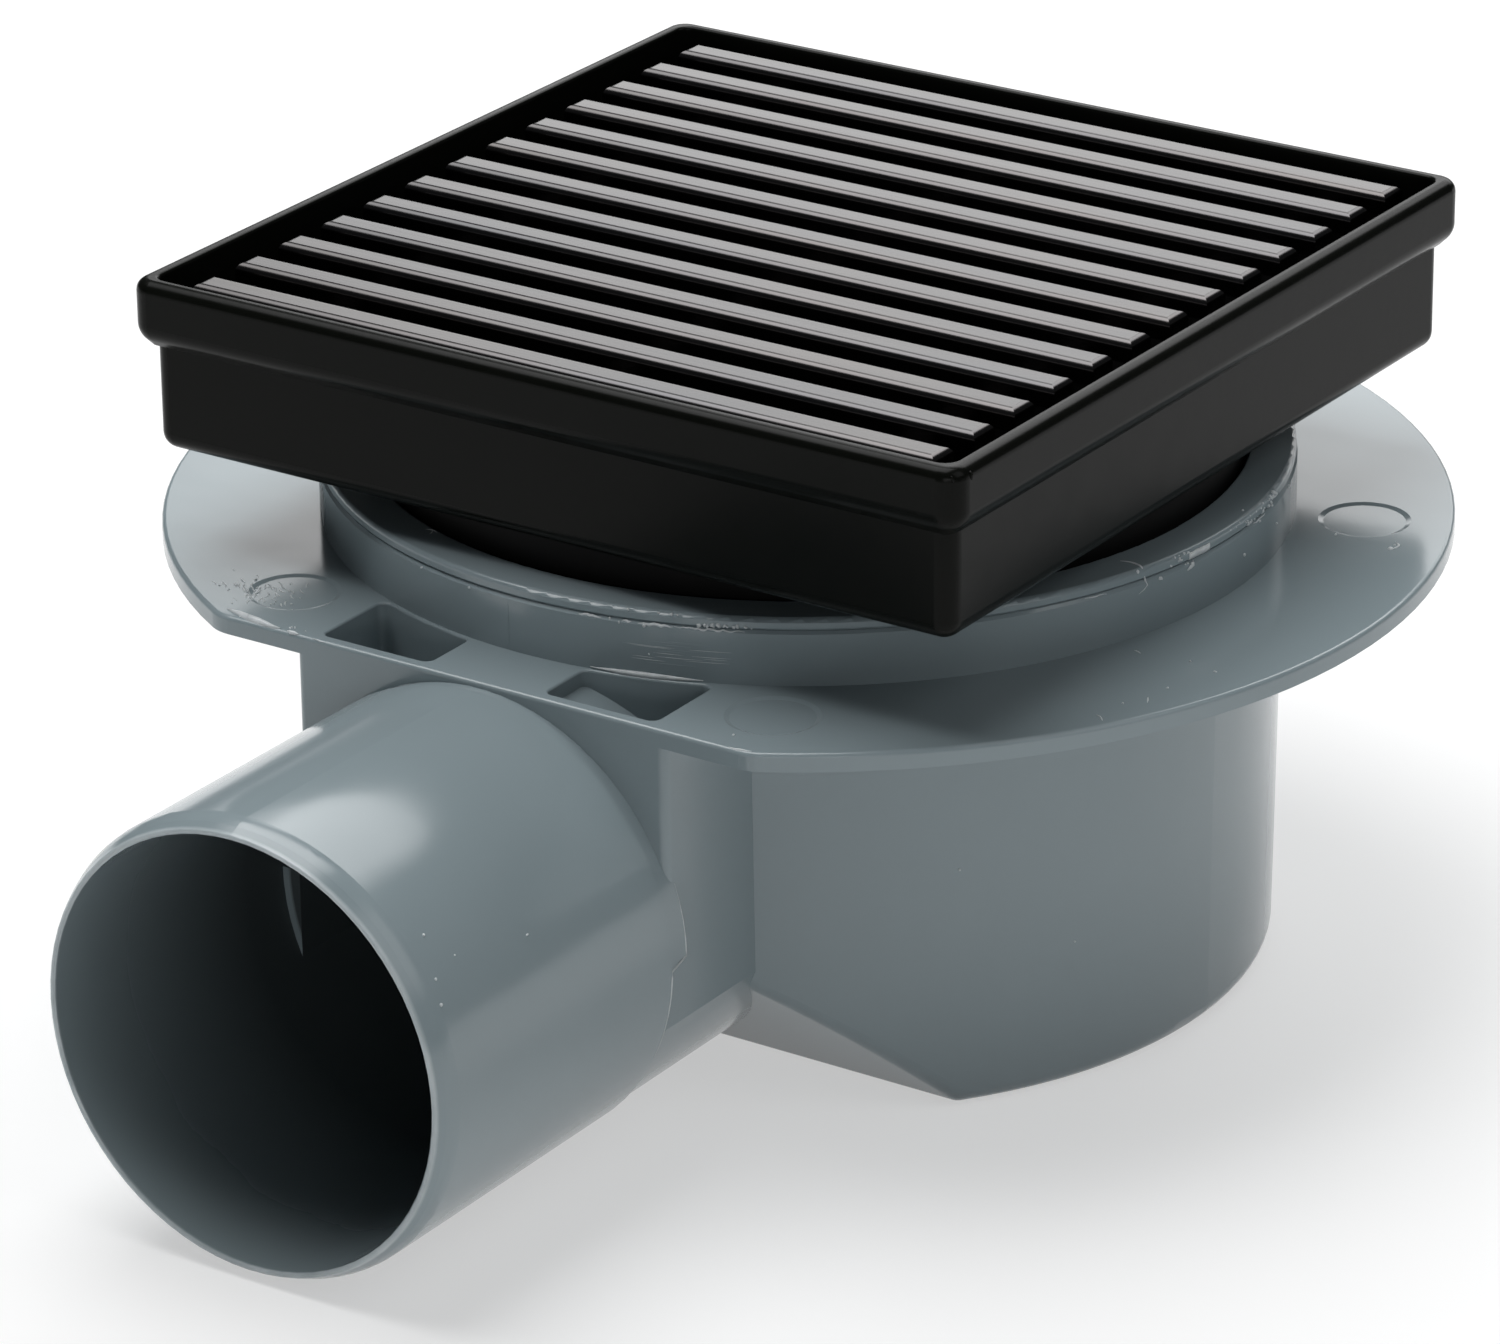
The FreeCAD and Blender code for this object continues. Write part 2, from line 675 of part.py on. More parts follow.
square(well, WELL_SIDE)
pocket(frame, well, "frame_height - frame_floor")
fillet(frame, "well_corners", "well_corner_round",
       lambda edge: upright(edge) and same(edge.BoundBox.ZMax, value(FRAME_TOP)))
rim = sketch_on(frame, "rim", "XY_Plane", FRAME_TOP)
square(rim, RIM_SIDE)
pocket(frame, rim, "rim_depth")
fillet(frame, "rim_corners", "rim_corner_round",
       lambda edge: upright(edge) and same(edge.BoundBox.ZMax, value(FRAME_TOP)))
fillet(frame, "rim_edge", "rim_edge_round",
       lambda edge: flat_at(edge, FRAME_TOP) and not beyond(edge, RIM_SIDE + " / 2"))
socket = sketch_on(frame, "socket", "XY_Plane", SOCKET_BASE)
circle(socket, "0", "0", SOCKET_RADIUS)
pad(frame, socket, "socket_length + frame_floor / 2")
drain_hole = sketch_on(frame, "drain_hole", "XY_Plane", FRAME_BASE + " + frame_floor")
circle(drain_hole, "0", "0", SOCKET_RADIUS + " - socket_wall")
pocket(frame, drain_hole, "socket_length + 2 * frame_floor")
groove = sketch_on(frame, "ring_groove", "XZ_Plane")
rectangle(groove, RING_SEAL_BORE + " - seat_gap", GROOVE_LEVEL + " - ring_seal_section / 2 - seat_gap",
          NECK_INNER, GROOVE_LEVEL + " + ring_seal_section / 2 + seat_gap")
before = frame.Shape.Volume
groove_cut = frame.newObject("PartDesign::Groove", "ring_groove_cut")
groove_cut.Profile = groove
groove_cut.ReferenceAxis = (groove, ["V_Axis"])
groove_cut.Angle = 360
doc.recompute()
if frame.Shape.Volume >= before:
    raise RuntimeError("ring groove removes nothing")
keep(frame)
turned("socket_ring_seal", [
    (RING_SEAL_BORE, GROOVE_LEVEL + " - ring_seal_section / 2"),
    (RING_SEAL_RADIUS + " - ring_seal_bevel", GROOVE_LEVEL + " - ring_seal_section / 2"),
    (RING_SEAL_RADIUS, GROOVE_LEVEL + " - ring_seal_section / 2 + ring_seal_bevel"),
    (RING_SEAL_RADIUS, GROOVE_LEVEL + " + ring_seal_section / 2 - ring_seal_bevel"),
    (RING_SEAL_RADIUS + " - ring_seal_bevel", GROOVE_LEVEL + " + ring_seal_section / 2"),
    (RING_SEAL_BORE, GROOVE_LEVEL + " + ring_seal_section / 2"),
])

# Ledge inside the frame that carries the grate
ledge = start_body("grate_ledge")
ledge_outline = sketch_on(ledge, "ledge_outline", "XY_Plane", LEDGE_TOP)
square(ledge_outline, "(" + WELL_SIDE + " - 2 * seat_gap)")
pad(ledge, ledge_outline, "ledge_thick", reverse=True)
fillet(ledge, "ledge_corners", "well_corner_round", upright)
ledge_hole = sketch_on(ledge, "ledge_hole", "XY_Plane", LEDGE_TOP)
square(ledge_hole, "(" + WELL_SIDE + " - 2 * ledge_width)")
pocket(ledge, ledge_hole, "ledge_thick")
keep(ledge)

# Grate: wedge-shaped bars on cross rails
for number in range(BAR_COUNT):
    label = "grate_bar_%02d" % (number + 1)
    bar = start_body(label)
    section = sketch_on(bar, label + "_section", "YZ_Plane")
    polygon(section, [
        ("-bar_foot / 2", "-bar_height"),
        ("bar_foot / 2", "-bar_height"),
        ("bar_width / 2", "-bar_edge"),
        ("bar_width / 2", "0"),
        ("-bar_width / 2", "0"),
        ("-bar_width / 2", "-bar_edge"),
    ])
    pad(bar, section, BAR_LENGTH, both_ways=True)
    fillet(bar, label + "_edges", "bar_round", lambda edge: flat_at(edge, "0"))
    bind(bar, "Placement.Base.y", "%s * (%d / %d - 1 / 2)" % (BAR_SPAN, number, BAR_COUNT - 1))
    bind(bar, "Placement.Base.z", BAR_TOP)
    keep(bar)
for number in range(RAIL_COUNT):
    rail = doc.addObject("Part::Box", "grate_rail_%d" % (number + 1))
    bind(rail, "Length", "rail_width")
    bind(rail, "Width", RAIL_LENGTH)
    bind(rail, "Height", "rail_height")
    bind(rail, "Placement.Base.x",
         "%s * (%d / %d - 1 / 2) - rail_width / 2" % (RAIL_SPAN, number, RAIL_COUNT - 1))
    bind(rail, "Placement.Base.y", "-%s / 2" % RAIL_LENGTH)
    bind(rail, "Placement.Base.z", LEDGE_TOP)
    keep(rail)

# Check and write every piece
doc.recompute()
for item in doc.Objects:
    if "Invalid" in item.State or "Error" in item.State:
        raise RuntimeError("%s failed: %s" % (item.Name, item.State))
os.makedirs("parts", exist_ok=True)
for piece in pieces:
    if piece.Shape.isNull() or not piece.Shape.isValid():
        raise RuntimeError(piece.Label + " has no valid shape")
    print(piece.Label, len(piece.Shape.Solids), round(piece.Shape.Volume, 1), piece.Shape.BoundBox)
for piece in pieces:
    piece.Shape.exportStep("parts/%s.step" % piece.Label)
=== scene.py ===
import json
import math
import random

import bmesh
import bpy
from mathutils import Euler, Matrix, Vector
from mathutils.bvhtree import BVHTree

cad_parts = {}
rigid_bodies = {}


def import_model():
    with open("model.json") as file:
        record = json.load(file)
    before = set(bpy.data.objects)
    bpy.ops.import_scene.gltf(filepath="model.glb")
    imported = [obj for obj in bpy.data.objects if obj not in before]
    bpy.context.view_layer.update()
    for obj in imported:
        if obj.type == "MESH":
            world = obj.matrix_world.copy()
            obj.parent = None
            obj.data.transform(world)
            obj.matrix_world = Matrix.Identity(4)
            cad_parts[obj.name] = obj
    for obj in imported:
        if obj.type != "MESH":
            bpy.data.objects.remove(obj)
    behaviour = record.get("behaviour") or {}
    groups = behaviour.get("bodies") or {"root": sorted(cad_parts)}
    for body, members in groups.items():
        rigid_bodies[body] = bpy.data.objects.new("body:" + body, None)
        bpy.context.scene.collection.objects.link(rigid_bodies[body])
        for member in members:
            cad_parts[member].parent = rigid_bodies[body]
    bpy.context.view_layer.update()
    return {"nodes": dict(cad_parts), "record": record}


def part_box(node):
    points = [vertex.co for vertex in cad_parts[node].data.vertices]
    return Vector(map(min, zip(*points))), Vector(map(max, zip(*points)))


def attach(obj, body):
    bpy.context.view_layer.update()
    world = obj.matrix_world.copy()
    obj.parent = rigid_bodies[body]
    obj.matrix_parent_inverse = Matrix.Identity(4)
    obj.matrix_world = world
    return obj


for leftover in list(bpy.data.objects):
    bpy.data.objects.remove(leftover)

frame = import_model()
nodes = frame["nodes"]

# Places on the drain, in millimetres
MM = 0.001
OUTLET_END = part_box("drain_body")[0].y / MM
OUTLET_AXIS = 25.0
OUTLET_RADIUS = 25.0
BORE_RADIUS = 23.5
ROOT_SIDE = -58.0
RING_LOW, RING_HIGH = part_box("seal_ring")
RING_TOP = RING_HIGH.z / MM
SEAM = RING_LOW.z / MM
COLLAR_HEIGHT = 6.0
FLANGE_TOP = SEAM - COLLAR_HEIGHT
FRAME_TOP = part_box("frame")[1].z / MM

# Camera, fitted to the photograph's 1500 by 1344 frame
PHOTO_WIDTH = 1500
FOCAL_PIXELS = 7325.7
SENSOR_MM = 36.0
CAMERA_PLACE = Vector((0.4081, -0.6162, 0.3478))
CAMERA_AZIMUTH = math.radians(34.021)
CAMERA_ELEVATION = math.radians(23.327)
CAMERA_ROLL = math.radians(-0.617)

# Studio, in metres
AIM = Vector((0.0, 0.0, 0.05))
FLOOR_SIDE = 8.0
FLOOR_DROP = 0.0003
FLOOR_TONE = (0.92, 0.92, 0.92, 1.0)
FLOOR_ROUGH = 0.9
FLOOR_WHITE = 0.5
ROOM_TONE = (0.05, 0.052, 0.055, 1.0)
LAMP_EDGE = 0.2

# Tones, in pairs from the darkest to the lightest
SKIN_TONES = ((0.206, 0.254, 0.272, 1.0), (0.240, 0.293, 0.313, 1.0))
# Painted shade: colour of the dark inside the outlet
BORE_SHADE_TONE = (0.050, 0.062, 0.066, 1.0)
# Painted highlight: pale colour along the outlet's mouth and the pot's foot
EDGE_HIGHLIGHT_TONE = (0.52, 0.57, 0.59, 1.0)
# Pale plastic of real flash, burrs, scuffs, hairs and specks, also used for slivers that paint highlights
# along edges
FLASH_AND_HIGHLIGHT_TONES = ((0.36, 0.40, 0.42, 1.0), (0.72, 0.75, 0.76, 1.0))
COAT_TONES = ((0.0025, 0.0029, 0.0022, 1.0), (0.0045, 0.0050, 0.0040, 1.0))
BAR_TONES = ((0.066, 0.069, 0.074, 1.0), (0.087, 0.078, 0.073, 1.0))
RUBBER_TONES = ((0.012, 0.012, 0.012, 1.0), (0.02, 0.02, 0.02, 1.0))
NECK_TONES = ((0.003, 0.003, 0.003, 1.0), (0.006, 0.006, 0.006, 1.0))
TRAP_TONES = ((0.020, 0.021, 0.022, 1.0), (0.03, 0.031, 0.032, 1.0))

# Shine of the black surfaces, as specular level
COAT_SHINE = 0.08
NECK_SHINE = 0.1
PLAIN_SHINE = 0.5

# Painted shade inside the outlet: how far its wall faces the axis, in bore radii
BORE_FACING = (-0.5, -0.3)

# Painted shade inside the outlet: reach of the dark from the axis and from the mouth, in millimetres
BORE_SHADE_RADII = (22.4, 22.8)
BORE_FADE = 32.0

# Faces that look to the back, such as the pot's back wall, are kept out of the painted shade
BACK_FACING = (0.0, 0.3)

# Painted highlight along the outlet's mouth and the pot's foot: how deep it reaches from an edge, in
# millimetres, and which faces of the foot count as upright
RIM_HIGHLIGHT = (0.15, 0.5)
FOOT_HIGHLIGHT = (0.4, 0.8)
FOOT_UPRIGHT = (-0.9, -0.5)

# Sockets of the colour mix
MIX_FIRST = 6
MIX_SECOND = 7
MIX_RESULT = 2


# Node helpers

def add(tree, kind, inputs=None, **settings):
    made = tree.nodes.new(kind)
    for key, setting in settings.items():
        setattr(made, key, setting)
    for key, given in (inputs or {}).items():
        if isinstance(given, bpy.types.NodeSocket):
            tree.links.new(given, made.inputs[key])
        else:
            made.inputs[key].default_value = given
    return made


def new_material(name):
    material = bpy.data.materials.new(name)
    material.use_nodes = True
    return material, material.node_tree, material.node_tree.nodes["Principled BSDF"]


def place(tree):
    return add(tree, "ShaderNodeTexCoord").outputs["Object"]


def facing(tree):
    return add(tree, "ShaderNodeTexCoord").outputs["Normal"]


def axes_of(tree, vector):
    return add(tree, "ShaderNodeSeparateXYZ", {"Vector": vector}).outputs


def stretched(tree, coords, scale):
    return add(tree, "ShaderNodeMapping", {"Vector": coords, "Scale": scale}).outputs["Vector"]


def noise(tree, coords, scale, detail=3.0):
    made = add(tree, "ShaderNodeTexNoise",
               {"Vector": coords, "Scale": scale, "Detail": detail, "Roughness": 0.55})
    return made.outputs["Fac"]


def spread(tree, amount, low, high, start=0.0, end=1.0):
    made = add(tree, "ShaderNodeMapRange",
               {"Value": amount, "From Min": start, "From Max": end, "To Min": low, "To Max": high})
    return made.outputs["Result"]


def fading(tree, amount, start, end):
    return spread(tree, amount, 1.0, 0.0, start, end)


def rising(tree, amount, start, end):
    return spread(tree, amount, 0.0, 1.0, start, end)


def calc(tree, operation, first, second=0.0):
    return add(tree, "ShaderNodeMath", {0: first, 1: second}, operation=operation).outputs["Value"]


def product(tree, first, second):
    return calc(tree, "MULTIPLY", first, second)


def total(tree, first, second):
    return calc(tree, "ADD", first, second)


def larger(tree, first, second):
    return calc(tree, "MAXIMUM", first, second)


def blend_colour(tree, amount, first, second):
    inputs = {"Factor": amount, MIX_FIRST: first, MIX_SECOND: second}
    return add(tree, "ShaderNodeMix", inputs, data_type="RGBA").outputs[MIX_RESULT]


def bump(tree, height, depth, under=None):
    inputs = {"Height": height, "Distance": depth, "Strength": 1.0}
    if under is not None:
        inputs["Normal"] = under
    return add(tree, "ShaderNodeBump", inputs).outputs["Normal"]


def connect(tree, shader, colour, rough, normal):
    tree.links.new(colour, shader.inputs["Base Color"])
    tree.links.new(rough, shader.inputs["Roughness"])
    tree.links.new(normal, shader.inputs["Normal"])


# Materials

# Painted shade inside the outlet: its inner wall darkens from the mouth inwards
def painted_bore_shade(tree, coords):
    axes = axes_of(tree, coords)
    slants = axes_of(tree, facing(tree))
    rise = calc(tree, "SUBTRACT", axes["Z"], OUTLET_AXIS * MM)
    leaning = total(tree, product(tree, axes["X"], slants["X"]), product(tree, rise, slants["Z"]))
    inward = fading(tree, leaning, *[share * BORE_RADIUS * MM for share in BORE_FACING])
    squares = total(tree, product(tree, axes["X"], axes["X"]), product(tree, rise, rise))
    radius = calc(tree, "SQRT", squares)
    within = fading(tree, radius, *[reach * MM for reach in BORE_SHADE_RADII])
    mouthward = fading(tree, slants["Y"], *BACK_FACING)
    inside = larger(tree, inward, product(tree, within, mouthward))
    near = fading(tree, radius, OUTLET_RADIUS * MM, (OUTLET_RADIUS + 0.5) * MM)
    deep = rising(tree, axes["Y"], OUTLET_END * MM, (OUTLET_END + BORE_FADE) * MM)
    return product(tree, product(tree, inside, near), deep)


# Painted highlight: a pale band along the outlet's mouth and the pot's foot, broken up by noise
def painted_edge_highlight(tree, coords):
    axes = axes_of(tree, coords)
    slants = axes_of(tree, facing(tree))
    rim = fading(tree, axes["Y"], *[(OUTLET_END + reach) * MM for reach in RIM_HIGHLIGHT])
    upright = rising(tree, slants["Z"], *FOOT_UPRIGHT)
    foot = product(tree, upright, fading(tree, axes["Z"], *[reach * MM for reach in FOOT_HIGHLIGHT]))
    pot = rising(tree, axes["Y"], (ROOT_SIDE - 1.0) * MM, ROOT_SIDE * MM)
    edges = larger(tree, rim, product(tree, foot, pot))
    patches = noise(tree, coords, scale=130.0, detail=4.0)
    return product(tree, edges, spread(tree, patches, low=0.35, high=0.85, start=0.3, end=0.7))


def grey_plastic():
    material, tree, shader = new_material("moulded_grey")
    coords = place(tree)
    cloud = noise(tree, coords, scale=22.0)
    # Painted shade inside the outlet, which also makes its gloss rougher there
    bore_shade = painted_bore_shade(tree, coords)
    skin_and_bore_shade = blend_colour(tree, bore_shade, blend_colour(tree, cloud, *SKIN_TONES), BORE_SHADE_TONE)
    # Pale band along the mouth and foot edges is a painted highlight
    colour = blend_colour(tree, painted_edge_highlight(tree, coords), skin_and_bore_shade, EDGE_HIGHLIGHT_TONE)
    flow = noise(tree, stretched(tree, coords, (1.0, 1.0, 0.25)), scale=160.0, detail=4.0)
    gloss = total(tree, spread(tree, cloud, low=0.12, high=0.17), spread(tree, flow, low=-0.02, high=0.02))
    rough = total(tree, gloss, spread(tree, bore_shade, low=0.0, high=0.35))
    ripple = bump(tree, noise(tree, coords, scale=70.0, detail=2.0), depth=0.00006)
    grain = bump(tree, noise(tree, coords, scale=2600.0, detail=2.0), depth=0.000003, under=ripple)
    connect(tree, shader, colour, rough, grain)
    return material


def black_coat():
    material, tree, shader = new_material("black_coat")
    coords = place(tree)
    colour = blend_colour(tree, noise(tree, coords, scale=30.0), *COAT_TONES)
    rough = spread(tree, noise(tree, coords, scale=240.0, detail=4.0), low=0.16, high=0.30)
    peel = bump(tree, noise(tree, coords, scale=900.0, detail=2.0), depth=0.000008)
    shader.inputs["Specular IOR Level"].default_value = COAT_SHINE
    connect(tree, shader, colour, rough, peel)
    return material


def black_bar():
    material, tree, shader = new_material("black_brushed_bar")
    coords = place(tree)
    hue = noise(tree, stretched(tree, coords, (18.0, 130.0, 1.0)), scale=1.0, detail=2.0)
    brush = noise(tree, stretched(tree, coords, (12.0, 2600.0, 2600.0)), scale=1.0)
    rough = spread(tree, brush, low=0.16, high=0.25)
    shader.inputs["Metallic"].default_value = 1.0
    connect(tree, shader, blend_colour(tree, hue, *BAR_TONES), rough, bump(tree, brush, depth=0.000002))
    return material


def dark_plastic(name, tones, low, high, shine=PLAIN_SHINE):
    material, tree, shader = new_material(name)
    coords = place(tree)
    shader.inputs["Specular IOR Level"].default_value = shine
    cloud = noise(tree, coords, scale=45.0)
    grain = bump(tree, noise(tree, coords, scale=1800.0, detail=2.0), depth=0.000006)
    connect(tree, shader, blend_colour(tree, cloud, *tones), spread(tree, cloud, low, high), grain)
    return material


# Pale plastic for real flash and marks, and for slivers that paint highlights along edges
def pale_flash_and_highlight():
    material, tree, shader = new_material("pale_flash_and_highlight")
    coords = place(tree)
    cloud = noise(tree, coords, scale=900.0)
    rough = spread(tree, cloud, low=0.22, high=0.40)
    grain = bump(tree, noise(tree, coords, scale=4000.0), depth=0.00001)
    connect(tree, shader, blend_colour(tree, cloud, *FLASH_AND_HIGHLIGHT_TONES), rough, grain)
    return material


def floor_paint():
    material, tree, shader = new_material("pale_floor")
    shader.inputs["Base Color"].default_value = FLOOR_TONE
    shader.inputs["Roughness"].default_value = FLOOR_ROUGH
    shader.inputs["Specular IOR Level"].default_value = 0.0
    path = add(tree, "ShaderNodeLightPath")
    seen = larger(tree, path.outputs["Is Camera Ray"], path.outputs["Is Glossy Ray"])
    white = add(tree, "ShaderNodeEmission").outputs["Emission"]
    inputs = {0: product(tree, seen, FLOOR_WHITE), 1: shader.outputs["BSDF"], 2: white}
    mixed = add(tree, "ShaderNodeMixShader", inputs)
    tree.links.new(mixed.outputs["Shader"], tree.nodes["Material Output"].inputs["Surface"])
    return material


PAINTS = {
    "grey_plastic": grey_plastic(),
    "seal_rubber": dark_plastic("black_rubber", RUBBER_TONES, low=0.6, high=0.8),
    "neck_plastic": dark_plastic("neck_black", NECK_TONES, low=0.5, high=0.7, shine=NECK_SHINE),
    "trap_plastic": dark_plastic("trap_black", TRAP_TONES, low=0.4, high=0.55),
    "frame_black": black_coat(),
    "bar_black": black_bar(),
}
for subpart in frame["record"]["subparts"]:
    mesh = nodes[subpart["node"]].data
    mesh.materials.clear()
    mesh.materials.append(PAINTS[subpart["material_slot"]])


# Surfaces that carry the marks; a mark is dropped on them from outside

CLEAR = 120.0
DOWN = (0.0, 0.0, -1.0)
LEFT = (-1.0, 0.0, 0.0)


def surface_of(name):
    return BVHTree.FromObject(nodes[name], bpy.context.evaluated_depsgraph_get())


BODY_SKIN = surface_of("drain_body")
RING_SKIN = surface_of("seal_ring")
FRAME_SKIN = surface_of("frame")


def landed(skin, start, heading):
    return skin.ray_cast(Vector(start) * MM, Vector(heading))[0]


def on_top(skin, across, along):
    return landed(skin, (across, along, CLEAR), DOWN)


def on_side(skin, along, height):
    return landed(skin, (CLEAR, along, height), LEFT)


def outward(angle):
    return Vector((math.cos(math.radians(angle)), math.sin(math.radians(angle)), 0.0))


def on_wall(skin, angle, height):
    out = outward(angle)
    return landed(skin, out * CLEAR + Vector((0.0, 0.0, height)), -out)


def on_spigot(along, angle):
    out = Vector((math.cos(math.radians(angle)), 0.0, math.sin(math.radians(angle))))
    return landed(BODY_SKIN, out * CLEAR + Vector((0.0, along, OUTLET_AXIS)), -out)


# Shapes of the marks, in millimetres: crumbs, slivers and a chip

TUBE_SIDES = 6
TIP_SHARE = 0.2
ASKEW = Vector((0.31, 0.52, 0.79))
CHIP_STEPS = 10
CHIP_RAGGED = 0.06
BOW_STEPS = 8


def crumb(shape, centre, size, chance):
    made = bmesh.ops.create_icosphere(shape, subdivisions=2, radius=1.0)
    turn = Euler([chance.uniform(0.0, math.tau) for _ in range(3)]).to_matrix()
    stretch = Vector([size * MM * chance.uniform(0.6, 1.3) for _ in range(3)])
    for vertex in made["verts"]:
        vertex.co = centre + turn @ (vertex.co * chance.uniform(0.8, 1.15) * stretch)


def join_rings(shape, rings):
    for low, high in zip(rings, rings[1:]):
        for corner in range(len(low)):
            after = (corner + 1) % len(low)
            shape.faces.new((low[corner], low[after], high[after], high[corner]))
    shape.faces.new(rings[0])
    shape.faces.new(rings[-1])


def sliver(shape, route, thick):
    rings = []
    last = len(route) - 1
    turns = [math.tau * corner / TUBE_SIDES for corner in range(TUBE_SIDES)]
    for index, point in enumerate(route):
        ahead = route[min(index + 1, last)] - route[max(index - 1, 0)]
        side = ahead.cross(ASKEW).normalized()
        over = ahead.cross(side).normalized()
        reach = thick * MM * max(TIP_SHARE, math.sin(math.pi * (index + 0.5) / len(route)))
        section = [point + (side * math.cos(turn) + over * math.sin(turn)) * reach for turn in turns]
        rings.append([shape.verts.new(corner) for corner in section])
    join_rings(shape, rings)


def chip(shape, chance, angles, heights, thick):
    rings = []
    for step in range(CHIP_STEPS + 1):
        angle = angles[0] + (angles[1] - angles[0]) * step / CHIP_STEPS
        out = outward(angle) * thick * MM
        low, high = [on_wall(RING_SKIN, angle, height + chance.uniform(-CHIP_RAGGED, CHIP_RAGGED))
                     for height in heights]
        middle = on_wall(RING_SKIN, angle, sum(heights) / 2)
        section = (low - out, low + out, middle + out, high + out, high - out, middle - out)
        rings.append([shape.verts.new(corner) for corner in section])
    join_rings(shape, rings)


# Routes for slivers

def bowed(ends, bow):
    (x0, y0), (x1, y1) = ends
    points = []
    for step in range(BOW_STEPS + 1):
        t = step / BOW_STEPS
        lift = 4 * t * (1 - t) * bow
        points.append((x0 + (x1 - x0) * t - (y1 - y0) * lift, y0 + (y1 - y0) * t + (x1 - x0) * lift))
    return points


def over_top(skin, ends, bow):
    return [on_top(skin, *point) for point in bowed(ends, bow)]


def along_wall(places):
    return [on_wall(BODY_SKIN, angle, height) for angle, height in places]


def round_wall(angle, reach, height, steps=8):
    return along_wall([(angle + reach * step / steps, height) for step in range(steps + 1)])


def root_edge(height):
    stride = 0.05
    step_out = 0.04
    met = [on_side(BODY_SKIN, ROOT_SIDE - stride * step, height) for step in range(120)]
    proud = [point for point in met if point.x - met[0].x > step_out * MM]
    return proud[0] if proud else met[-1]


# Marks of moulding and handling, and pale slivers that paint highlights along edges

def ring_crumbs(shape, chance, count, draw, spot, heights, sizes):
    for _ in range(count):
        centre = on_wall(RING_SKIN, draw(*spot), SEAM + chance.uniform(*heights))
        crumb(shape, centre, chance.uniform(*sizes), chance)


def brushed_wall(shape, chance, count, angles, reaches, heights, thick):
    for _ in range(count):
        angle = chance.uniform(*angles)
        reach = chance.uniform(*reaches)
        sliver(shape, round_wall(angle, reach, FLANGE_TOP + chance.uniform(*heights)), thick)


def seam_flash(shape, chance):
    edge = SEAM - 0.1
    for start, end, thick in ((-83.0, -80.2, 0.17), (-77.7, -76.6, 0.15), (-75.8, -71.7, 0.21),
                              (-71.6, -63.6, 0.13), (-24.0, -21.0, 0.07), (6.0, 9.5, 0.08)):
        steps = max(6, int((end - start) * 3))
        route = [on_wall(BODY_SKIN, start + (end - start) * step / steps, edge + chance.uniform(-0.12, 0.02))
                 for step in range(steps + 1)]
        sliver(shape, route, thick)
    ring_crumbs(shape, chance, 16, chance.uniform, (-68.8, -62.8), heights=(0.1, 0.5), sizes=(0.1, 0.25))
    for angle in (-106.0, -98.0, -79.2, -78.0, -75.0, -13.1, -8.6, -8.2, -7.6, 7.5, 12.0, 19.0):
        centre = on_wall(BODY_SKIN, angle, edge - chance.uniform(0.0, 0.3))
        crumb(shape, centre, chance.uniform(0.12, 0.26), chance)
    ring_crumbs(shape, chance, 26, chance.gauss, (6.0, 3.0), heights=(0.1, 1.2), sizes=(0.07, 0.17))
    ring_crumbs(shape, chance, 9, chance.gauss, (-10.0, 1.0), heights=(0.3, 1.2), sizes=(0.08, 0.18))
    for angle in (-77.0, -73.4, -71.9, -71.2, -16.4, -8.8):
        crumb(shape, on_wall(RING_SKIN, angle, RING_TOP - 0.25), chance.uniform(0.12, 0.2), chance)
    ring_crumbs(shape, chance, 14, chance.gauss, (12.3, 1.1), heights=(0.4, 1.4), sizes=(0.12, 0.26))
    chip(shape, chance, angles=(-8.0, -4.2), heights=(SEAM + 0.2, SEAM + 1.0), thick=0.12)


# Burrs and crumbs along the chord, and pale slivers on the pocket's back edge and on the collar that paint
# highlights
def chord_burr(shape, chance):
    for start, end, thick in (((-33.4, -59.9), (-25.6, -61.2), 0.5), ((-24.6, -61.2), (-23.0, -61.3), 0.26),
                              ((-21.2, -61.3), (-19.6, -61.4), 0.1), ((30.8, -61.3), (33.4, -61.0), 0.13)):
        route = [on_top(BODY_SKIN, x, y + chance.uniform(-0.05, 0.05)) for x, y in bowed((start, end), -0.03)]
        sliver(shape, route, thick)
    # A pale sliver along the pocket's back edge: a painted highlight
    pocket_edge_highlight = [(-81.6 + 0.7 * step, FLANGE_TOP + 0.2) for step in range(20)]
    sliver(shape, along_wall(pocket_edge_highlight), thick=0.32)
    # A pale upright sliver on the collar's left side: a painted highlight
    collar_highlight_line = [(-136.2, FLANGE_TOP + 0.3 + 0.45 * step) for step in range(13)]
    sliver(shape, along_wall(collar_highlight_line), thick=0.2)
    for _ in range(12):
        centre = on_top(BODY_SKIN, chance.uniform(-33.0, -22.0), chance.uniform(-61.1, -60.2))
        crumb(shape, centre, chance.uniform(0.06, 0.16), chance)


def scuffs(shape, chance):
    for _ in range(64):
        x = chance.gauss(-34.4, 2.1)
        y = chance.gauss(-53.2, 1.3)
        heading = chance.uniform(0.4, 1.3)
        reach = chance.uniform(0.5, 1.6)
        ends = ((x, y), (x + reach * math.cos(heading), y - reach * math.sin(heading)))
        route = over_top(BODY_SKIN, ends, chance.uniform(-0.2, 0.2))
        sliver(shape, route, chance.uniform(0.06, 0.12))
    for _ in range(14):
        centre = on_top(BODY_SKIN, chance.gauss(-32.5, 2.2), chance.gauss(-54.6, 1.3))
        crumb(shape, centre, chance.uniform(0.05, 0.15), chance)
    brushed_wall(shape, chance, 10, angles=(-78.0, -67.0), reaches=(2.0, 7.0), heights=(1.8, 3.8),
                 thick=0.022)


